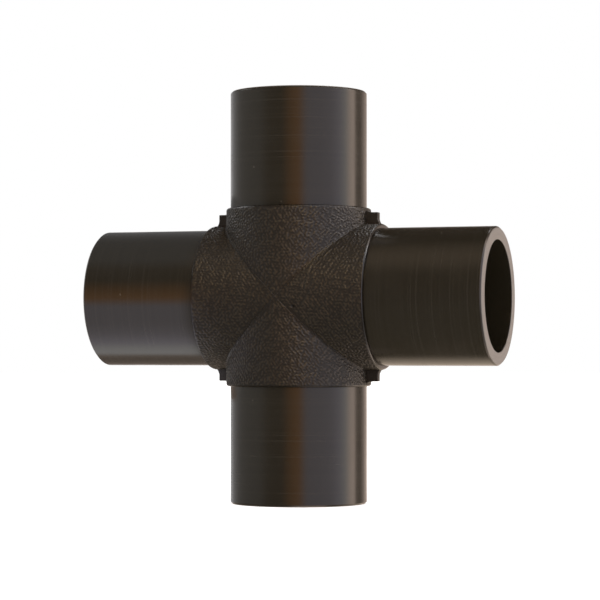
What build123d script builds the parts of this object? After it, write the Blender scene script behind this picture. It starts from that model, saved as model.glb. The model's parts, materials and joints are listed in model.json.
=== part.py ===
"""Equal cross for butt fusion: a moulded hub with four plain pipe spigots in one plane.

The two runs cross at the origin. One run lies along X and the other stands along Z, so the fitting
stands on the flat end of its bottom spigot. +Y is square to the plane of the four spigots.
"""

from build123d import *

import os

# Driving dimensions, in millimetres.
PIPE_OD = 63.0  # outside diameter of a spigot, the size of pipe that it joins
PIPE_WALL = 6.1  # wall of a spigot
OVERALL = 190.0  # from the end of a spigot to the end of the opposite one
SPIGOT_LENGTH = 54.0  # plain length of a spigot, from the collar to its end
END_CHAMFER = 0.9  # outer edge of a spigot's end
BORE_CHAMFER = 0.3  # inner edge of a spigot's end
COLLAR_STEP = 2.0  # height of the hub's surface over the spigot's
SHOULDER_RADIUS = 1.2  # rounding of the hub's four rims
CREASE_RADIUS = 1.0  # rounding in the valleys where the two runs meet outside
MITRE_RADIUS = 0.8  # rounding of the edges where the two bores meet inside
WEB_THICKNESS = 3.6  # of the plates in the four corners, along Y
WEB_REACH = 38.7  # from an axis of the fitting to a plate's outer edge
WEB_CURVE_LENGTH = 2.5  # an outer edge starts to curve towards the rim at this height over the hub
WEB_CURVE_RISE = 1.5  # how far that curve takes the edge towards the rim
WEB_BITE = 0.6  # how deep under the hub's surface the curve ends

# Worked out from these.
PIPE_RADIUS = PIPE_OD / 2
BORE_RADIUS = PIPE_RADIUS - PIPE_WALL
HUB_RADIUS = PIPE_RADIUS + COLLAR_STEP
HUB_HALF = OVERALL / 2 - SPIGOT_LENGTH
RUN_PLANES = (Plane.XY, Plane.YZ)  # a run goes straight through each of these

# The four arms: the name of each and the way it points.
ARMS = {
    "top": (0, 0, 1),
    "bottom": (0, 0, -1),
    "left": (-1, 0, 0),
    "right": (1, 0, 0),
}

# The four corners between the arms: the sign of X and the sign of Z there.
CORNERS = {
    "top_left": (-1, 1),
    "top_right": (1, 1),
    "bottom_left": (-1, -1),
    "bottom_right": (1, -1),
}


def make_hub():
    """Two crossed round bodies, hollow along both runs, with their rims and meeting edges rounded."""
    with BuildPart() as hub:
        for plane in RUN_PLANES:
            with BuildSketch(plane):
                Circle(HUB_RADIUS)
            extrude(amount=HUB_HALF, both=True)
        creases = hub.edges().filter_by(GeomType.ELLIPSE)
        fillet(creases, CREASE_RADIUS)
        rims = [edge for edge in hub.edges().filter_by(GeomType.CIRCLE) if edge.radius > PIPE_RADIUS]
        fillet(rims, SHOULDER_RADIUS)
        for plane in RUN_PLANES:
            with BuildSketch(plane):
                Circle(BORE_RADIUS)
            extrude(amount=HUB_HALF, both=True, mode=Mode.SUBTRACT)
        mitres = hub.edges().filter_by(GeomType.ELLIPSE)
        fillet(mitres, MITRE_RADIUS)
    return hub.part


def make_spigot(direction):
    """A plain pipe end that stands on the hub's end face, chamfered at its free end."""
    foot = Plane(origin=Vector(*direction) * HUB_HALF, z_dir=direction)
    outward = Axis((0, 0, 0), direction)
    with BuildPart() as spigot:
        with BuildSketch(foot):
            Circle(PIPE_RADIUS)
            Circle(BORE_RADIUS, mode=Mode.SUBTRACT)
        extrude(amount=SPIGOT_LENGTH)
        end_edges = spigot.faces().sort_by(outward)[-1].edges().sort_by(SortBy.LENGTH)
        chamfer(end_edges[-1], END_CHAMFER)
        chamfer(end_edges[0], BORE_CHAMFER)
    return spigot.part


def make_web(side, height, hub):
    """A flat plate in the corner between two arms. Its outer edges curve into the hub's rims."""
    curve_start = HUB_RADIUS + WEB_CURVE_LENGTH
    curve_end_across = HUB_RADIUS - WEB_BITE
    curve_end_along = WEB_REACH + WEB_CURVE_RISE
    inside = HUB_RADIUS - SHOULDER_RADIUS

    # In this plane the local x runs outward along X and the local y outward along Z.
    corner = Plane(origin=(0, 0, 0), x_dir=(side, 0, 0), z_dir=(0, -side * height, 0))
    with BuildPart() as web:
        with BuildSketch(corner):
            with BuildLine():
                along_z = TangentArc(
                    (curve_start, WEB_REACH), (curve_end_across, curve_end_along), tangent=(-1, 0)
                )
                along_x = TangentArc(
                    (WEB_REACH, curve_start), (curve_end_along, curve_end_across), tangent=(0, -1)
                )
                Polyline(along_z @ 0, (WEB_REACH, WEB_REACH), along_x @ 0)
                Polyline(along_z @ 1, (inside, curve_end_along), (inside, inside))
                Polyline((inside, inside), (curve_end_along, inside), along_x @ 1)
            make_face()
        extrude(amount=WEB_THICKNESS / 2, both=True)
        add(hub, mode=Mode.SUBTRACT)
    return web.part


def save(part, name):
    """Labels a finished piece and writes it to a file of the same name."""
    part.label = name
    export_step(part, f"parts/{name}.step")


os.makedirs("parts", exist_ok=True)

hub_body = make_hub()
save(hub_body, "hub_body")

for arm, direction in ARMS.items():
    save(make_spigot(direction), f"{arm}_spigot")

for corner, (side, height) in CORNERS.items():
    save(make_web(side, height, hub_body), f"{corner}_web")
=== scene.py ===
"""Looks of the equal cross fitting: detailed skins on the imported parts, plastics, floor, light, camera.

The fitting's two runs lie along X and Z and cross at the origin. The camera stands on the -Y side,
a little towards +X. All lengths are in metres: a value in millimetres is multiplied by MM.
"""

import json
import math

import bmesh
import bpy
import numpy as np
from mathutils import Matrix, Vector, noise


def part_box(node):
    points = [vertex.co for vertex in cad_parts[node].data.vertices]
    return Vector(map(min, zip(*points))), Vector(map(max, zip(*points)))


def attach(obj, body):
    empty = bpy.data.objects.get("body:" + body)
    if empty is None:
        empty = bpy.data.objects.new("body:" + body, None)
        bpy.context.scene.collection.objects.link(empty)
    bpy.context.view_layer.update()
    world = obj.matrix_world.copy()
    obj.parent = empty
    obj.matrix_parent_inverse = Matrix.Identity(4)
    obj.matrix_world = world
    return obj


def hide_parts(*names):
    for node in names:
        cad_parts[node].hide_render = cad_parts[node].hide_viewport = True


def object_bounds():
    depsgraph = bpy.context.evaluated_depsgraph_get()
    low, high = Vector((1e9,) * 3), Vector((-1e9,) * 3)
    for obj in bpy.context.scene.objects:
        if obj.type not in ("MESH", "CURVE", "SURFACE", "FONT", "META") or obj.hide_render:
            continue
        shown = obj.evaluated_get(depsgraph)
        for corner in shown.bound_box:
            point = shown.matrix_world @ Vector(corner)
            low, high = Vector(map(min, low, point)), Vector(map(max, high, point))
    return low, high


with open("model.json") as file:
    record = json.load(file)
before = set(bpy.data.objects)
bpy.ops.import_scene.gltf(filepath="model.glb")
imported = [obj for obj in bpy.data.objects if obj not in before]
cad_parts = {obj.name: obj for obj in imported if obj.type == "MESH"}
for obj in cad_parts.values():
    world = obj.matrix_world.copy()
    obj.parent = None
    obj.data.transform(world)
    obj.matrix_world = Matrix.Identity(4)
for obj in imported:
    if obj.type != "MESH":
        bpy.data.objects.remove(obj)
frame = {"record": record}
cad_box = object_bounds()

MM = 0.001
FRONT = Vector((0, -1, 0))
ARMS = {
    "top": Vector((0, 0, 1)),
    "bottom": Vector((0, 0, -1)),
    "left": Vector((-1, 0, 0)),
    "right": Vector((1, 0, 0)),
}
CORNERS = {
    "top_left": (-1, 1),
    "top_right": (1, 1),
    "bottom_left": (-1, -1),
    "bottom_right": (1, -1),
}

# Main sizes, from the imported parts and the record.
MOUNTS = {mount["name"]: mount for mount in frame["record"]["mounts"]}
SPIGOT_RADIUS = MOUNTS["top_spigot_outside"]["dims"]["r_mm"] * MM
BORE_RADIUS = MOUNTS["upright_bore"]["dims"]["r_mm"] * MM
HUB_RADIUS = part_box("hub_body")[1].y
HUB_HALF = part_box("hub_body")[1].z
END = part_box("top_spigot")[1].z
WEB_HALF_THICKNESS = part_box("top_right_web")[1].y

# Roundings, chamfers and corner plates, as the parts have them.
SHOULDER = 1.2 * MM
CREASE = 0.9 * MM  # the valley's rounding is blended, not an exact arc
MITRE = 0.8 * MM
END_CHAMFER = 0.9 * MM
BORE_CHAMFER = 0.3 * MM
WEB_REACH = 38.7 * MM
WEB_CURVE_LENGTH = 2.5 * MM
WEB_CURVE_RISE = 1.5 * MM
WEB_BITE = 0.6 * MM
WEB_EDGE = 0.35 * MM
WEB_EDGE_ANGLE = math.radians(40)  # sharper edges than this are rounded

# Grain of the hub: short wavering ridges with pits between them, cut inwards. It is a sum of waves.
GRAIN_SEED = 7
GRAIN_PITCH = 1.35 * MM
GRAIN_SPREAD = 0.2  # how much the waves differ in pitch
GRAIN_WAVES = 48
GRAIN_SHARPNESS = 1.3
GRAIN_RARENESS = 0.45  # above 0 the ridges are narrower than the pits
GRAIN_DEPTH = 0.24 * MM
GRAIN_END = 0.45 * MM  # the smooth lip at the hub's end
GRAIN_FADE = 0.5 * MM  # the grain dies out over this length before the lip
CREASE_WIDTH = 0.3 * MM  # the smooth line in the valleys between the runs, painted darker as shade
CREASE_SMOOTHNESS = 0.8  # share of the grain that is missing there
CREASE_START = 0.4  # the smooth line fades out where the valley does, below this sine of the angle
PIT_PLACE = Vector((8.4, -33.1, -4.8)) * MM  # mark of the moulding gate on the front
PIT_RADIUS = 0.8 * MM
PIT_DEPTH = 0.7 * MM

# Turning lines round the spigots.
LINE_PITCH = 1.2 * MM
LINE_DEPTH = 0.010 * MM
LINE_SHIFT = Vector((0.3, 0.0, -0.2))  # so that no two spigots have the same lines
LINE_MARGIN = 0.3 * MM  # no lines this near the chamfer
CUT_PITCH = 0.7 * MM  # rings that the saw leaves on an end face
CUT_DEPTH = 0.02 * MM
CUT_MARGINS = 0.5 * MM, 1.3 * MM  # no rings this near the bore and the outside
HAIR = 0.01 * MM  # less than this doesn't count as a distance
SAWN_BAND = 0.10 * MM  # sawn plastic reaches this far round the outer edge
SAWN_MARGIN = 0.05 * MM  # and stops this far from the bore

# Small roundings where a spigot's faces meet, from the outside in.
SPIGOT_EDGES = [0.25 * MM, 0.2 * MM, 0.12 * MM, 0.12 * MM]

# Mesh fineness.
SLEEVE_TURN = 768
SLEEVE_ROWS = 112
SPIGOT_TURN = 256
SPIGOT_ROWS = [288, 2, 28, 1, 24]  # outside, chamfer, end face, chamfer, bore
SHOULDER_ROWS = 8
ARC_ROWS = 5
BORE_ROWS = 10
WEB_ARC_POINTS = 9
WEB_EDGE_STEPS = 4
BLEND_STEPS = 6


# ---------------------------------------------------------------- meshes


def cylinder_points(axis, radius, along, turn):
    """Points round an axis: radius and along give a row each, or a value for every point of a row."""
    across = axis.cross(FRONT)
    angle = np.linspace(0, math.tau, turn, endpoint=False)
    outward = np.outer(np.cos(angle), FRONT) + np.outer(np.sin(angle), across)
    radius = np.broadcast_to(np.asarray(radius, float).T, (turn, len(radius))).T
    along = np.broadcast_to(np.asarray(along, float).T, (turn, len(along))).T
    return radius[..., None] * outward + along[..., None] * np.array(axis)


def ring_mesh(name, rings, shades):
    """A closed skin through rings of points. The last ring joins the first, so no edge is open."""
    rows, turn = rings.shape[:2]
    row, step = np.meshgrid(np.arange(rows), np.arange(turn), indexing="ij")
    next_row = (row + 1) % rows
    next_step = (step + 1) % turn
    corners = [
        row * turn + step,
        row * turn + next_step,
        next_row * turn + next_step,
        next_row * turn + step,
    ]
    faces = np.stack(corners, axis=-1).reshape(-1, 4)
    mesh = bpy.data.meshes.new(name)
    mesh.from_pydata(rings.reshape(-1, 3).tolist(), [], faces.tolist())
    for shade, values in shades.items():
        attribute = mesh.attributes.new(shade, "FLOAT", "POINT")
        attribute.data.foreach_set("value", np.asarray(values, np.float32).ravel())
    mesh.shade_smooth()
    piece = bpy.data.objects.new(name, mesh)
    bpy.context.scene.collection.objects.link(piece)
    return piece


def crossed_cylinders(points, radius, rounding):
    """Distance from two crossed cylinders whose meeting edges are rounded, and the way out of them."""
    x, y, z = points[..., 0], points[..., 1], points[..., 2]
    from_upright = np.hypot(x, y)
    from_level = np.hypot(z, y)
    zero = np.zeros_like(x)
    out_upright = np.stack([x, y, zero], -1) / from_upright[..., None]
    out_level = np.stack([zero, y, z], -1) / from_level[..., None]
    # The rounding shrinks to nothing where the two surfaces run into each other without an edge.
    edge = 1 - y * y / (from_upright * from_level)
    reach = 4 * rounding * (1 - math.sqrt(0.5)) * edge + 1e-7
    share = np.clip(0.5 + 0.5 * (from_level - from_upright) / reach, 0, 1)
    distance = from_level + (from_upright - from_level) * share
    distance = distance - reach * share * (1 - share) - radius
    outward = share[..., None] * out_upright + (1 - share)[..., None] * out_level
    return distance, outward


def rounded_where_they_meet(points, radius, rounding):
    """Moves points of two crossed cylinders onto the rounding between them, and gives the normals there."""
    for _ in range(BLEND_STEPS):
        distance, outward = crossed_cylinders(points, radius, rounding)
        points = points - distance[..., None] * outward / (outward**2).sum(-1, keepdims=True)
    outward = crossed_cylinders(points, radius, rounding)[1]
    return points, outward / np.linalg.norm(outward, axis=-1, keepdims=True)


def grain(points):
    """Height of the grain at each point, from 0 in a pit to 1 on a ridge."""
    chance = np.random.default_rng(GRAIN_SEED)
    total = np.zeros(points.shape[:-1])
    for _ in range(GRAIN_WAVES):
        way = chance.normal(size=3)
        way /= np.linalg.norm(way) * GRAIN_PITCH * (1 + GRAIN_SPREAD * chance.uniform(-1, 1))
        total += np.cos(math.tau * (points @ way + chance.uniform()))
    total /= math.sqrt(GRAIN_WAVES / 2)
    return 0.5 + 0.5 * np.tanh(GRAIN_SHARPNESS * (total - GRAIN_RARENESS))


def sleeve_outside(axis, sines):
    """The plain skin from the mitre to the rim, its normals, and how deep in a valley each point is."""
    mitre = HUB_RADIUS * sines
    share = np.linspace(0, 1, SLEEVE_ROWS)[:, None]
    along = mitre + (HUB_HALF - SHOULDER - mitre) * share
    plain = cylinder_points(axis, np.full(along.shape, HUB_RADIUS), along, SLEEVE_TURN)
    plain, normals = rounded_where_they_meet(plain, HUB_RADIUS, CREASE)
    other_run = plain @ np.cross(axis, FRONT)
    from_other_run = np.hypot(plain @ np.array(axis), plain @ np.array(FRONT))
    from_this_run = np.hypot(other_run, plain @ np.array(FRONT))
    crease = np.exp(-(((from_other_run - from_this_run) / CREASE_WIDTH) ** 2))
    crease *= np.clip(sines / CREASE_START, 0, 1)
    return plain, normals, crease


def sleeve_shoulder(axis):
    """The rounded rim at the end of the hub, and its normals."""
    quarter = np.linspace(0, math.pi / 2, SHOULDER_ROWS + 1)[1:]
    radius = HUB_RADIUS - SHOULDER + SHOULDER * np.cos(quarter)
    along = HUB_HALF - SHOULDER + SHOULDER * np.sin(quarter)
    normals = cylinder_points(axis, np.cos(quarter), np.sin(quarter), SLEEVE_TURN)
    return cylinder_points(axis, radius, along, SLEEVE_TURN), normals


def sleeve_bore(axis, sines):
    """The hub's bore, from its end to the mitre inside."""
    mitre = BORE_RADIUS * sines
    share = np.linspace(0, 1, BORE_ROWS)[:, None]
    along = HUB_HALF + (mitre - HUB_HALF) * share
    bore = cylinder_points(axis, np.full(along.shape, BORE_RADIUS), along, SLEEVE_TURN)
    return rounded_where_they_meet(bore, BORE_RADIUS, MITRE)[0]


def sleeve(arm, axis):
    """A quarter of the hub's skin, round one arm, from the mitre with its neighbours to the shoulder."""
    sines = np.abs(np.sin(np.linspace(0, math.tau, SLEEVE_TURN, endpoint=False)))
    plain, plain_normals, crease = sleeve_outside(axis, sines)
    shoulder, shoulder_normals = sleeve_shoulder(axis)
    bore = sleeve_bore(axis, sines)

    skin = np.concatenate([plain, shoulder])
    outward = np.concatenate([plain_normals, shoulder_normals])
    ridge = grain(skin)
    fade = np.clip((HUB_HALF - GRAIN_END - skin @ np.array(axis)) / GRAIN_FADE, 0, 1)
    fade[: len(plain)] *= 1 - CREASE_SMOOTHNESS * crease
    pit = np.exp(-((np.linalg.norm(skin - np.array(PIT_PLACE), axis=-1) / PIT_RADIUS) ** 4))
    depth = fade * GRAIN_DEPTH * (1 - ridge) + PIT_DEPTH * pit
    skin = skin - depth[..., None] * outward

    rings = np.concatenate([skin, bore])
    nothing = np.zeros(bore.shape[:2])
    shades = {
        "ridge": np.concatenate([fade * ridge * (1 - pit) - pit, nothing]),
        "smooth": np.concatenate([(1 - fade) * (1 - pit), nothing]),
    }
    piece = ring_mesh(f"{arm}_hub_skin", rings, shades)
    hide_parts("hub_body")
    piece.data.materials.append(hub_plastic)
    return piece


def rounded_corner(before, corner, after, rounding):
    """Points on the arc that rounds the corner between two straight runs."""
    way_in = (corner - before) / np.linalg.norm(corner - before)
    way_out = (after - corner) / np.linalg.norm(after - corner)
    turn = math.acos(np.clip(way_in @ way_out, -1, 1))
    tangent = rounding * math.tan(turn / 2)
    inward = (way_out - way_in * math.cos(turn)) / math.sin(turn)
    centre = corner - way_in * tangent + rounding * inward
    first = corner - way_in * tangent - centre
    last = corner + way_out * tangent - centre
    arc = []
    for share in np.linspace(0, 1, ARC_ROWS):
        spoke = math.sin((1 - share) * turn) * first + math.sin(share * turn) * last
        arc.append(centre + spoke / math.sin(turn))
    return arc


def profile(corners, roundings, rows):
    """Points along a profile with its corners rounded by arcs. rows is the number of steps in each run."""
    corners = [np.array(corner, float) for corner in corners]
    starts = [corners[0]]
    arcs = []
    for before, corner, after, rounding in zip(corners, corners[1:], corners[2:], roundings):
        arc = rounded_corner(before, corner, after, rounding)
        arcs.append(arc)
        starts.append(arc[-1])
    points = []
    for index, start in enumerate(starts):
        stop = arcs[index][0] if index < len(arcs) else corners[-1]
        run = [start + (stop - start) * share for share in np.linspace(0, 1, rows[index] + 1)]
        points.extend(run if index == 0 else run[1:])
        if index < len(arcs):
            points.extend(arcs[index][1:])
    return np.array(points)


def noise_along(place, size, lane):
    """Soft noise along a line. Each lane has its own."""
    return np.array([noise.noise(Vector((value / size, lane, 0.5))) for value in place])


def turning_lines(place):
    """Depth of the fine lines that run round a turned surface, as a share from 0 to 1."""
    wander = noise_along(place, 4 * LINE_PITCH, 0.5)
    strength = noise_along(place, LINE_PITCH, 7.5)
    wave = 0.5 + 0.5 * np.cos(math.tau * place / LINE_PITCH + 4 * wander)
    return wave * np.clip(0.6 + 0.8 * strength, 0, 1)


def spigot(arm, axis):
    """A plain pipe end with turning lines outside, rounded chamfers and a sawn end face."""
    corners = [
        (SPIGOT_RADIUS, HUB_HALF),
        (SPIGOT_RADIUS, END - END_CHAMFER),
        (SPIGOT_RADIUS - END_CHAMFER, END),
        (BORE_RADIUS + BORE_CHAMFER, END),
        (BORE_RADIUS, END - BORE_CHAMFER),
        (BORE_RADIUS, HUB_HALF),
    ]
    points = profile(corners, SPIGOT_EDGES, SPIGOT_ROWS)
    radius, along = points[:, 0].copy(), points[:, 1].copy()

    side = (radius > SPIGOT_RADIUS - HAIR) & (along < END - END_CHAMFER - LINE_MARGIN)
    radius[side] -= LINE_DEPTH * turning_lines(along[side] + LINE_SHIFT.dot(axis))
    inner, outer = BORE_RADIUS + CUT_MARGINS[0], SPIGOT_RADIUS - CUT_MARGINS[1]
    face = (along > END - HAIR) & (radius > inner) & (radius < outer)
    along[face] -= CUT_DEPTH * (0.5 + 0.5 * np.cos(math.tau * radius[face] / CUT_PITCH))

    rings = cylinder_points(axis, radius, along, SPIGOT_TURN)
    on_end = (along > END - SAWN_BAND) & (radius > BORE_RADIUS + SAWN_MARGIN)
    rows = np.ones(SPIGOT_TURN)
    shades = {
        "along": np.outer(along, rows),
        "cut": np.outer(on_end, rows),
        "from_axis": np.outer(radius, rows),
    }
    piece = ring_mesh(f"{arm}_spigot_skin", rings, shades)
    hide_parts(f"{arm}_spigot")
    piece.data.materials.append(spigot_plastic)
    return piece


def web_outline():
    """Outline of a corner plate in its own plane: each outer edge curves into the hub's rim."""
    length = WEB_CURVE_LENGTH + WEB_BITE
    radius = (length**2 + WEB_CURVE_RISE**2) / (2 * WEB_CURVE_RISE)
    start = HUB_RADIUS + WEB_CURVE_LENGTH
    arc = [
        (start - radius * math.sin(turn), WEB_REACH + radius * (1 - math.cos(turn)))
        for turn in np.linspace(0, math.asin(length / radius), WEB_ARC_POINTS)
    ]
    inside = HUB_RADIUS - SHOULDER
    upper = [(WEB_REACH, WEB_REACH), *arc, (inside, WEB_REACH + WEB_CURVE_RISE)]
    lower = [(along, across) for across, along in upper[:0:-1]]
    return [*upper, (inside, inside), *lower]


def web(corner, side, height):
    """A flat plate between two arms, with its outer edges rounded."""
    made = bmesh.new()
    outline = web_outline()
    back = [made.verts.new((side * x, WEB_HALF_THICKNESS, height * z)) for x, z in outline]
    face = made.faces.new(back)
    extruded = bmesh.ops.extrude_face_region(made, geom=[face])["geom"]
    front = [item for item in extruded if isinstance(item, bmesh.types.BMVert)]
    bmesh.ops.translate(made, verts=front, vec=FRONT * 2 * WEB_HALF_THICKNESS)
    bmesh.ops.recalc_face_normals(made, faces=made.faces)
    sharp = [edge for edge in made.edges if edge.calc_face_angle(0) > WEB_EDGE_ANGLE]
    bmesh.ops.bevel(
        made,
        geom=sharp,
        offset=WEB_EDGE,
        segments=WEB_EDGE_STEPS,
        profile=0.5,
        affect="EDGES",
        clamp_overlap=True,
    )
    mesh = bpy.data.meshes.new(f"{corner}_web_skin")
    made.to_mesh(mesh)
    made.free()
    mesh.shade_smooth()
    piece = bpy.data.objects.new(mesh.name, mesh)
    bpy.context.scene.collection.objects.link(piece)
    even = piece.modifiers.new("even_shading", "WEIGHTED_NORMAL")
    even.keep_sharp = True
    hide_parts(f"{corner}_web")
    piece.data.materials.append(web_plastic)
    return piece


# ---------------------------------------------------------------- materials


# Colours. A pair is a range that soft clouds or fine lines run through.
# The grain's pits are darker as painted shade in its hollows, and its ridges are lighter as painted
# highlight.
PIT_SHADE_COLOURS = (0.0066, 0.0048, 0.0023), (0.0084, 0.0061, 0.0031)
RIDGE_HIGHLIGHT_COLOURS = (0.0200, 0.0144, 0.0078), (0.0250, 0.0180, 0.0100)
# Near black inside the gate mark's dent: painted shade in the hollow.
GATE_PIT_SHADE_COLOUR = (0.0010, 0.0008, 0.0005)
# Dark colour of the smooth lips. Along the valleys between the runs it is painted shade.
SMOOTH_AND_CREASE_SHADE_COLOUR = (0.0060, 0.0046, 0.0028)
WEB_COLOURS = (0.0080, 0.0062, 0.0040), (0.0140, 0.0110, 0.0075)
TURNED_COLOURS = (0.0115, 0.0090, 0.0052), (0.0150, 0.0118, 0.0072)
LINE_COLOUR = (0.0215, 0.0172, 0.0115)
SAWN_COLOURS = (0.1350, 0.1140, 0.1000), (0.2150, 0.1850, 0.1650)
NICK_COLOUR = (0.0700, 0.0600, 0.0480)

# How much of a feature's colour shows.
LINE_SHARE = 0.6
NICK_SHARE = 0.8

# Roughness: a range, or what one feature adds to it.
PIT_TO_RIDGE_ROUGHNESS = 0.52, 0.33
SMOOTH_ROUGHNESS = -0.32
WEB_ROUGHNESS = 0.38, 0.52
TURNED_ROUGHNESS = 0.16, 0.22
LINE_ROUGHNESS = 0.06
SAWN_ROUGHNESS = 0.25
PLASTIC_IOR = 1.5

# Sizes of the soft clouds of colour and gloss, and the middle range that their noise mostly lies in.
HUB_CLOUDS = 14 * MM
WEB_CLOUDS = 5 * MM
SPIGOT_CLOUDS = 16 * MM
CLOUD_RANGE = 0.3, 0.7
NOISE_ROUGHNESS = 0.55

# Fine relief that the meshes don't hold: its size and its depth.
HUB_HAZE = 0.22 * MM, 0.010 * MM
HUB_WAVES = 9 * MM, 0.12 * MM
WEB_WAVES = GRAIN_PITCH, 0.08 * MM
WEB_HAZE = 0.25 * MM, 0.012 * MM
SPIGOT_HAZE = 0.6 * MM, 0.004 * MM
FINE_LINE, FINE_LINE_DEPTH = 0.9 * MM, 0.014 * MM
FINE_RING, FINE_RING_DEPTH = 0.5 * MM, 0.03 * MM
LINE_COLOUR_RANGE = 0.45, 0.75  # of the line noise, from no line to a full one
LINE_ROUGHNESS_RANGE = 0.4, 0.75
NICK_SPACING = 17 * MM
NICK_SIZE = 0.012, 0.026  # the full nick and its soft edge, in spacings
WALL_MIDDLE = BORE_RADIUS + 1 * MM, SPIGOT_RADIUS - 2 * MM  # from smooth inside to turned outside


def put(tree, kind, values=None, **settings):
    """Adds a node and gives its outputs. A value that is a socket is linked, and any other value is set."""
    made = tree.nodes.new(kind)
    for name, value in settings.items():
        setattr(made, name, value)
    for name, value in (values or {}).items():
        socket = made.inputs[name]
        if isinstance(value, bpy.types.NodeSocket):
            tree.links.new(value, socket)
        else:
            socket.default_value = value
    return made.outputs


def maths(tree, operation, first, second=0.0):
    """The result of a sum on two values, either of which may be a socket."""
    return put(tree, "ShaderNodeMath", {0: first, 1: second}, operation=operation)[0]


def between(tree, value, low, high, to_low=0.0, to_high=1.0):
    """Carries a value smoothly from the range low..high to the range to_low..to_high, and no further."""
    values = {"Value": value, 1: low, 2: high, 3: to_low, 4: to_high}
    return put(tree, "ShaderNodeMapRange", values, interpolation_type="SMOOTHSTEP")["Result"]


def mixed(tree, share, first, second):
    """A colour between two colours, either of which may be a socket."""
    made = tree.nodes.new("ShaderNodeMix")
    made.data_type = "RGBA"
    for index, value in ((0, share), (6, first), (7, second)):
        if isinstance(value, bpy.types.NodeSocket):
            tree.links.new(value, made.inputs[index])
        else:
            made.inputs[index].default_value = value if index == 0 else (*value, 1)
    return made.outputs[2]


def attribute(tree, name):
    """A value that the mesh carries at each point."""
    return put(tree, "ShaderNodeAttribute", attribute_name=name)["Fac"]


def new_material(name):
    """An empty node material: its tree, its shader and the place on the object."""
    material = bpy.data.materials.new(name)
    material.use_nodes = True
    tree = material.node_tree
    tree.nodes.clear()
    shader = tree.nodes.new("ShaderNodeBsdfPrincipled")
    out = tree.nodes.new("ShaderNodeOutputMaterial")
    tree.links.new(shader.outputs["BSDF"], out.inputs["Surface"])
    place = put(tree, "ShaderNodeTexCoord")["Object"]
    return material, tree, shader, place


def noise_along_value(tree, value, size):
    """Noise from 0 to 1 that changes only with one value, for lines and rings."""
    values = {"W": value, "Scale": 1 / size, "Detail": 3.0}
    return put(tree, "ShaderNodeTexNoise", values, noise_dimensions="1D")["Fac"]


def noise_at(tree, place, size, detail=3.0):
    """Soft noise from 0 to 1 whose features are about as large as size."""
    values = {"Vector": place, "Scale": 1 / size, "Detail": detail, "Roughness": NOISE_ROUGHNESS}
    return put(tree, "ShaderNodeTexNoise", values)["Fac"]


def bumped(tree, height, depth, under=None):
    """A normal from a height between 0 and 1, which stands for depth. It can lie on another normal."""
    values = {"Height": height, "Distance": depth, "Strength": 1.0}
    if under is not None:
        values["Normal"] = under
    return put(tree, "ShaderNodeBump", values)["Normal"]


def noise_bumped(tree, place, relief, detail=3.0, under=None):
    """A normal from soft noise. relief is the noise's size and depth."""
    size, depth = relief
    return bumped(tree, noise_at(tree, place, size, detail), depth, under)


def make_hub_plastic():
    """Dull black polyethylene with a leather grain: pits darkened with painted shade, glossier ridges
    lightened with painted highlight, smooth lips, and valleys darkened with painted shade.
    """
    material, tree, shader, place = new_material("hub_plastic")
    ridge = attribute(tree, "ridge")
    smooth = attribute(tree, "smooth")
    cloud = noise_at(tree, place, HUB_CLOUDS)
    # Painted shade in the grain's pits and painted highlight on its ridges, set by the grain's height.
    pits = mixed(tree, cloud, *PIT_SHADE_COLOURS)
    ridges = mixed(tree, cloud, *RIDGE_HIGHLIGHT_COLOURS)
    base = mixed(tree, between(tree, ridge, 0.0, 1.0), pits, ridges)
    # Painted shade: the gate mark's dent is made near black.
    base = mixed(tree, between(tree, ridge, -1.0, 0.0, 1.0, 0.0), base, GATE_PIT_SHADE_COLOUR)
    # The smooth lips keep their dark colour, and in the valleys this dark colour is painted shade.
    base = mixed(tree, smooth, base, SMOOTH_AND_CREASE_SHADE_COLOUR)
    tree.links.new(base, shader.inputs["Base Color"])
    rough = between(tree, ridge, 0.0, 0.9, *PIT_TO_RIDGE_ROUGHNESS)
    rough = maths(tree, "ADD", rough, maths(tree, "MULTIPLY", smooth, SMOOTH_ROUGHNESS))
    tree.links.new(rough, shader.inputs["Roughness"])
    normal = noise_bumped(tree, place, HUB_HAZE, detail=2.0)
    normal = noise_bumped(tree, place, HUB_WAVES, under=normal)
    tree.links.new(normal, shader.inputs["Normal"])
    shader.inputs["IOR"].default_value = PLASTIC_IOR
    return material


def make_web_plastic():
    """The plates' plastic: nearly smooth, with a fine haze of scratches."""
    material, tree, shader, place = new_material("web_plastic")
    cloud = noise_at(tree, place, WEB_CLOUDS)
    tree.links.new(mixed(tree, cloud, *WEB_COLOURS), shader.inputs["Base Color"])
    tree.links.new(between(tree, cloud, *CLOUD_RANGE, *WEB_ROUGHNESS), shader.inputs["Roughness"])
    normal = noise_bumped(tree, place, WEB_WAVES, detail=1.0)
    normal = noise_bumped(tree, place, WEB_HAZE, detail=2.0, under=normal)
    tree.links.new(normal, shader.inputs["Normal"])
    shader.inputs["IOR"].default_value = PLASTIC_IOR
    return material


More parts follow.
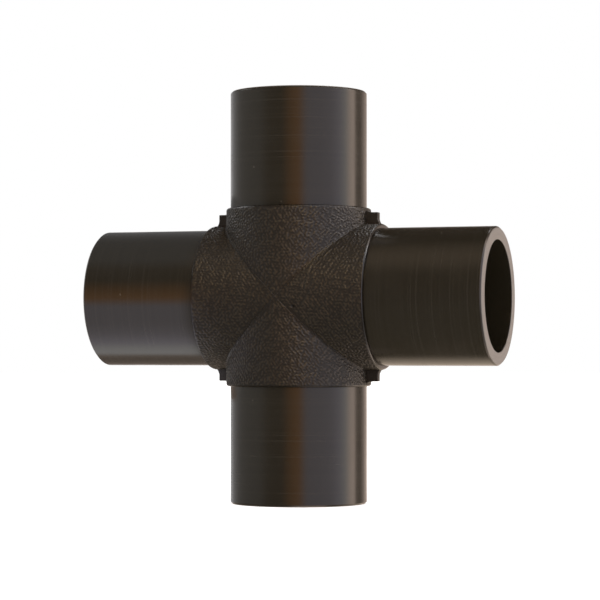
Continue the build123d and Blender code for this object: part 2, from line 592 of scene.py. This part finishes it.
def make_spigot_plastic():
    """Glossy black polyethylene: turned and a little nicked outside, smooth inside, paler where sawn."""
    material, tree, shader, place = new_material("spigot_plastic")
    along = attribute(tree, "along")
    cut = attribute(tree, "cut")
    from_axis = attribute(tree, "from_axis")
    cloud = noise_at(tree, place, SPIGOT_CLOUDS)
    outside = between(tree, from_axis, *WALL_MIDDLE)
    line = maths(tree, "MULTIPLY", noise_along_value(tree, along, FINE_LINE), outside)
    ring = noise_along_value(tree, from_axis, FINE_RING)

    base = mixed(tree, cloud, *TURNED_COLOURS)
    base = mixed(tree, between(tree, line, *LINE_COLOUR_RANGE, 0.0, LINE_SHARE), base, LINE_COLOUR)
    base = mixed(tree, cut, base, mixed(tree, ring, *SAWN_COLOURS))
    nick_place = put(tree, "ShaderNodeTexVoronoi", {"Vector": place, "Scale": 1 / NICK_SPACING})
    nick = between(tree, nick_place["Distance"], *NICK_SIZE, 1.0, 0.0)
    nick = maths(tree, "MULTIPLY", nick, maths(tree, "MULTIPLY", outside, NICK_SHARE))
    base = mixed(tree, nick, base, NICK_COLOUR)
    tree.links.new(base, shader.inputs["Base Color"])

    rough = between(tree, cloud, *CLOUD_RANGE, *TURNED_ROUGHNESS)
    rough = maths(tree, "ADD", rough, between(tree, line, *LINE_ROUGHNESS_RANGE, 0.0, LINE_ROUGHNESS))
    rough = maths(tree, "ADD", rough, maths(tree, "MULTIPLY", cut, SAWN_ROUGHNESS))
    tree.links.new(rough, shader.inputs["Roughness"])

    normal = bumped(tree, line, FINE_LINE_DEPTH)
    normal = noise_bumped(tree, place, SPIGOT_HAZE, detail=2.0, under=normal)
    normal = bumped(tree, maths(tree, "MULTIPLY", ring, cut), FINE_RING_DEPTH, under=normal)
    tree.links.new(normal, shader.inputs["Normal"])
    shader.inputs["IOR"].default_value = PLASTIC_IOR
    return material


# ---------------------------------------------------------------- stage


# Tints of the studio's light.
NEUTRAL = (1.00, 0.99, 1.00)
WARM = (1.20, 0.96, 0.82)
COOL = (1.03, 0.98, 1.15)
AMBER = (1.85, 0.82, 0.30)
STRAW = (1.35, 0.96, 0.52)

# The studio as the gloss sees it round a vertical run, in degrees from -Y towards +X: brightness and tint.
WALLS = [
    (-180, 1.00, WARM),
    (-147, 0.95, NEUTRAL),
    (-125, 0.56, NEUTRAL),
    (-98, 0.36, NEUTRAL),
    (-52, 0.35, NEUTRAL),
    (-32, 0.12, WARM),
    (-9, 0.08, WARM),
    (4, 0.33, AMBER),
    (19, 0.54, AMBER),
    (32, 0.82, COOL),
    (52, 0.86, COOL),
    (75, 0.98, COOL),
    (90, 1.28, COOL),
    (103, 1.75, NEUTRAL),
    (116, 2.60, WARM),
    (126, 2.75, WARM),
    (131, 0.43, WARM),
    (146, 0.24, WARM),
    (160, 0.65, WARM),
    (180, 1.00, WARM),
]
RAMP_PEAK = 6.0  # a ramp holds no colour above 1, so it is scaled up by this

# Ceiling and ground of the studio, by the way that the gloss looks. A range is of that unit
# direction's X, Y or Z, over which one brightness turns into another.
CEILING_FRONT, CEILING_BACK = 0.42, 0.05
CEILING_DIMS_OVER_Y = -0.4, 0.3
CEILING_MEETS_WALLS_OVER_X = 0.05, 0.5
CEILING_TINT = (1.28, 0.96, 0.70)
CEILING_TILT = 0.35  # the ceiling comes lower at the back
WALLS_END_ABOVE = 0.25, 0.75
GROUND_FRONT, GROUND_BACK = 0.13, 0.80
GROUND_BACK_OVER_Y = 0.3, 0.8
GROUND_BACK_OVER_X = -0.62, -0.42
GROUND_MEETS_WALLS_OVER_X = 0.1, 0.7
GROUND_MOST_OF_WALLS = 0.35
GROUND_TINT = (1.20, 0.97, 0.76)
WALLS_END_BELOW = 0.12, 0.35

SOFT_LIGHT = 1.25  # even light for matt surfaces, which also bleaches the floor
SOFT_LIGHT_COLOUR = (1, 0.985, 0.965, 1)
WHITE = (1, 1, 1, 1)
FLOOR_COLOURS = (0.93, 0.93, 0.93), (0.96, 0.96, 0.96)
FLOOR_GLOW = 0.6  # keeps the floor pale under the fitting
FLOOR_GLOW_COLOUR = (1, 0.99, 0.98, 1)
FLOOR_CLOUDS = 0.4
FLOOR_RADIUS = 6.0

# Round softboxes that the gloss sees: which way they are, the radius of the even part and of its soft
# edge in degrees, brightness, tint.
SOFTBOXES = [
    ((0.77, 0.43, 0.44), 4, 8, 10.5, NEUTRAL),
    ((0.03, 0.63, 0.77), 4, 9, 8.0, NEUTRAL),
    ((0.22, -0.78, 0.58), 8, 15, 3.6, STRAW),
    ((0.41, -0.46, 0.79), 6, 12, 3.6, NEUTRAL),
    ((0.52, -0.12, 0.84), 4, 9, 3.5, NEUTRAL),
    ((-0.86, 0.10, 0.50), 8, 14, 5.0, NEUTRAL),
    ((0.60, 0.60, -0.52), 7, 13, 2.8, WARM),
    ((0.12, 0.10, -0.98), 10, 18, 1.8, WARM),
]

# A curved card round the front of the left arm, for the gloss. CARD is in degrees downwards from -Y:
# brightness and tint.
CARD_RADIUS = 48 * MM
CARD_FROM, CARD_TO = -120 * MM, -44 * MM
CARD_FADE = 10 * MM  # at its end near the hub
CARD_STEPS = 39
CARD = [
    (-125, 0.26, NEUTRAL),
    (-104, 0.24, NEUTRAL),
    (-81, 0.22, NEUTRAL),
    (-61, 0.30, NEUTRAL),
    (-46, 0.34, NEUTRAL),
    (-32, 0.15, WARM),
    (-20, 0.09, WARM),
    (-10, 0.26, AMBER),
    (1, 0.49, AMBER),
    (10, 0.80, COOL),
    (30, 0.78, COOL),
    (43, 0.94, COOL),
    (57, 1.34, COOL),
    (66, 1.72, NEUTRAL),
    (77, 1.62, NEUTRAL),
    (84, 0.50, WARM),
    (93, 0.28, WARM),
    (109, 0.24, WARM),
    (125, 0.30, WARM),
]


def angle_ramp(tree, angle, stops):
    """A colour that depends on an angle in radians. The stops are (degrees, brightness, tint)."""
    turn = maths(tree, "ADD", maths(tree, "DIVIDE", angle, math.tau), 0.5)
    ramp = tree.nodes.new("ShaderNodeValToRGB")
    tree.links.new(turn, ramp.inputs["Fac"])
    elements = ramp.color_ramp.elements
    while len(elements) < len(stops):
        elements.new(0.5)
    for element, (degrees, _, _) in zip(elements, stops):
        element.position = degrees / 360 + 0.5
    for element, (_, brightness, tint) in zip(elements, stops):
        element.color = (*(brightness / RAMP_PEAK * part for part in tint), 1)
    scaled = {0: ramp.outputs["Color"], "Scale": RAMP_PEAK}
    return put(tree, "ShaderNodeVectorMath", scaled, operation="SCALE")[0]


def tinted(tree, value, tint):
    """A colour from a brightness and a tint."""
    parts = {index: maths(tree, "MULTIPLY", value, part) for index, part in enumerate(tint)}
    return put(tree, "ShaderNodeCombineXYZ", parts)[0]


def make_dome(tree):
    """The studio that the gloss sees: walls, ceiling, ground and softboxes, by direction."""
    way = put(tree, "ShaderNodeTexCoord")["Generated"]
    x, y, z = put(tree, "ShaderNodeSeparateXYZ", {0: way})
    bearing = maths(tree, "ARCTAN2", x, maths(tree, "MULTIPLY", y, -1.0))
    walls = angle_ramp(tree, bearing, WALLS)

    dimming = between(tree, y, *CEILING_DIMS_OVER_Y, CEILING_FRONT, CEILING_BACK)
    ceiling = tinted(tree, dimming, CEILING_TINT)
    ceiling = mixed(tree, between(tree, x, *CEILING_MEETS_WALLS_OVER_X), ceiling, walls)
    back_by_y = between(tree, y, *GROUND_BACK_OVER_Y)
    behind = maths(tree, "MULTIPLY", back_by_y, between(tree, x, *GROUND_BACK_OVER_X))
    ground = tinted(tree, between(tree, behind, 0.0, 1.0, GROUND_FRONT, GROUND_BACK), GROUND_TINT)
    of_walls = between(tree, x, *GROUND_MEETS_WALLS_OVER_X, 0.0, GROUND_MOST_OF_WALLS)
    ground = mixed(tree, of_walls, ground, walls)

    tilted = put(tree, "ShaderNodeMath", {0: y, 1: CEILING_TILT, 2: z}, operation="MULTIPLY_ADD")[0]
    upward = between(tree, tilted, *WALLS_END_ABOVE)
    downward = between(tree, maths(tree, "MULTIPLY", z, -1.0), *WALLS_END_BELOW)
    dome = mixed(tree, downward, mixed(tree, upward, walls, ceiling), ground)

    for direction, even, edge, brightness, tint in SOFTBOXES:
        dot = {0: way, 1: Vector(direction).normalized()}
        towards = put(tree, "ShaderNodeVectorMath", dot, operation="DOT_PRODUCT")["Value"]
        glow = between(tree, towards, math.cos(math.radians(edge)), math.cos(math.radians(even)))
        dome = mixed(tree, glow, dome, [brightness * part for part in tint])
    return dome


def make_world():
    """A white backdrop for the camera, even light for matt surfaces, and the studio for the gloss."""
    world = bpy.data.worlds.new("studio")
    bpy.context.scene.world = world
    world.use_nodes = True
    world.cycles.sampling_method = "NONE"
    tree = world.node_tree
    tree.nodes.clear()
    dome = make_dome(tree)
    rays = put(tree, "ShaderNodeLightPath")
    even = put(tree, "ShaderNodeBackground", {"Color": SOFT_LIGHT_COLOUR, "Strength": SOFT_LIGHT})[0]
    gloss = put(tree, "ShaderNodeBackground", {"Color": dome, "Strength": 1.0})[0]
    backdrop = put(tree, "ShaderNodeBackground", {"Color": WHITE, "Strength": 1.0})[0]
    light = put(tree, "ShaderNodeMixShader", {0: rays["Is Glossy Ray"], 1: even, 2: gloss})[0]
    seen = put(tree, "ShaderNodeMixShader", {0: rays["Is Camera Ray"], 1: light, 2: backdrop})[0]
    put(tree, "ShaderNodeOutputWorld", {"Surface": seen})


def make_floor():
    """A pale matt floor that the bottom spigot stands on. The gloss sees the studio's ground instead."""
    material, tree, shader, place = new_material("floor_paint")
    tone = mixed(tree, noise_at(tree, place, FLOOR_CLOUDS), *FLOOR_COLOURS)
    tree.links.new(tone, shader.inputs["Base Color"])
    shader.inputs["Roughness"].default_value = 0.9
    shader.inputs["Specular IOR Level"].default_value = 0.0
    shader.inputs["Emission Color"].default_value = FLOOR_GLOW_COLOUR
    shader.inputs["Emission Strength"].default_value = FLOOR_GLOW
    made = bmesh.new()
    bmesh.ops.create_circle(made, cap_ends=True, segments=96, radius=FLOOR_RADIUS)
    mesh = bpy.data.meshes.new("floor")
    made.to_mesh(mesh)
    made.free()
    floor = bpy.data.objects.new("floor", mesh)
    floor.location.z = cad_box[0].z
    floor.data.materials.append(material)
    floor.visible_glossy = False
    bpy.context.scene.collection.objects.link(floor)


def card_paint():
    """The card's glow, which fades out towards the hub. It can't be seen from the card's outer side."""
    material = bpy.data.materials.new("card_paint")
    material.use_nodes = True
    tree = material.node_tree
    tree.nodes.clear()
    place = put(tree, "ShaderNodeTexCoord")["Object"]
    x, y, z = put(tree, "ShaderNodeSeparateXYZ", {0: place})
    angle = maths(tree, "ARCTAN2", maths(tree, "MULTIPLY", z, -1.0), maths(tree, "MULTIPLY", y, -1.0))
    glow = put(tree, "ShaderNodeEmission", {"Color": angle_ramp(tree, angle, CARD)})[0]
    clear = put(tree, "ShaderNodeBsdfTransparent")[0]
    back = put(tree, "ShaderNodeNewGeometry")["Backfacing"]
    end = between(tree, x, CARD_TO - CARD_FADE, CARD_TO)
    hidden = maths(tree, "MAXIMUM", back, end)
    seen = put(tree, "ShaderNodeMixShader", {0: hidden, 1: glow, 2: clear})[0]
    put(tree, "ShaderNodeOutputMaterial", {"Surface": seen})
    return material


def make_card():
    """The curved card that the left arm reflects. Only the gloss sees it."""
    angles = np.radians(np.linspace(CARD[0][0], CARD[-1][0], CARD_STEPS + 1))
    rim = [(-CARD_RADIUS * math.cos(angle), -CARD_RADIUS * math.sin(angle)) for angle in angles]
    points = [(x, y, z) for y, z in rim for x in (CARD_FROM, CARD_TO)]
    faces = [(2 * k, 2 * k + 1, 2 * k + 3, 2 * k + 2) for k in range(len(rim) - 1)]
    mesh = bpy.data.meshes.new("left_card")
    mesh.from_pydata(points, [], faces)
    mesh.materials.append(card_paint())
    card = bpy.data.objects.new("left_card", mesh)
    card.visible_camera = False
    card.visible_diffuse = False
    card.visible_shadow = False
    bpy.context.scene.collection.objects.link(card)


CAMERA_DISTANCE = 1.1
CAMERA_AZIMUTH = 18.8  # degrees round from -Y towards +X
CAMERA_HEIGHT = -1.2  # degrees above the level
VIEW_WIDTH = 0.2774  # what the camera takes in at the fitting's centre
AIM = Vector((0.6, 0.0, -1.2)) * MM
SENSOR_WIDTH = 36.0


def make_camera():
    """A long lens that looks a little from the right, level with the level run."""
    data = bpy.data.cameras.new("camera")
    data.sensor_width = SENSOR_WIDTH
    data.lens = SENSOR_WIDTH * CAMERA_DISTANCE / VIEW_WIDTH
    data.clip_end = 50.0
    camera = bpy.data.objects.new("camera", data)
    azimuth, height = math.radians(CAMERA_AZIMUTH), math.radians(CAMERA_HEIGHT)
    level = Vector((math.sin(azimuth), -math.cos(azimuth), 0.0))
    back = level * math.cos(height) + Vector((0.0, 0.0, math.sin(height)))
    camera.location = AIM + back * CAMERA_DISTANCE
    camera.rotation_mode = "QUATERNION"
    camera.rotation_quaternion = (-back).to_track_quat("-Z", "Y")
    bpy.context.scene.collection.objects.link(camera)
    bpy.context.scene.camera = camera


# ---------------------------------------------------------------- the scene

make_camera()
make_world()
make_floor()
make_card()

hub_plastic = make_hub_plastic()
web_plastic = make_web_plastic()
spigot_plastic = make_spigot_plastic()

pieces = [sleeve(arm, axis) for arm, axis in ARMS.items()]
pieces += [spigot(arm, axis) for arm, axis in ARMS.items()]
pieces += [web(corner, side, height) for corner, (side, height) in CORNERS.items()]
for piece in pieces:
    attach(piece, "root")

bpy.context.scene.view_settings.view_transform = "Standard"
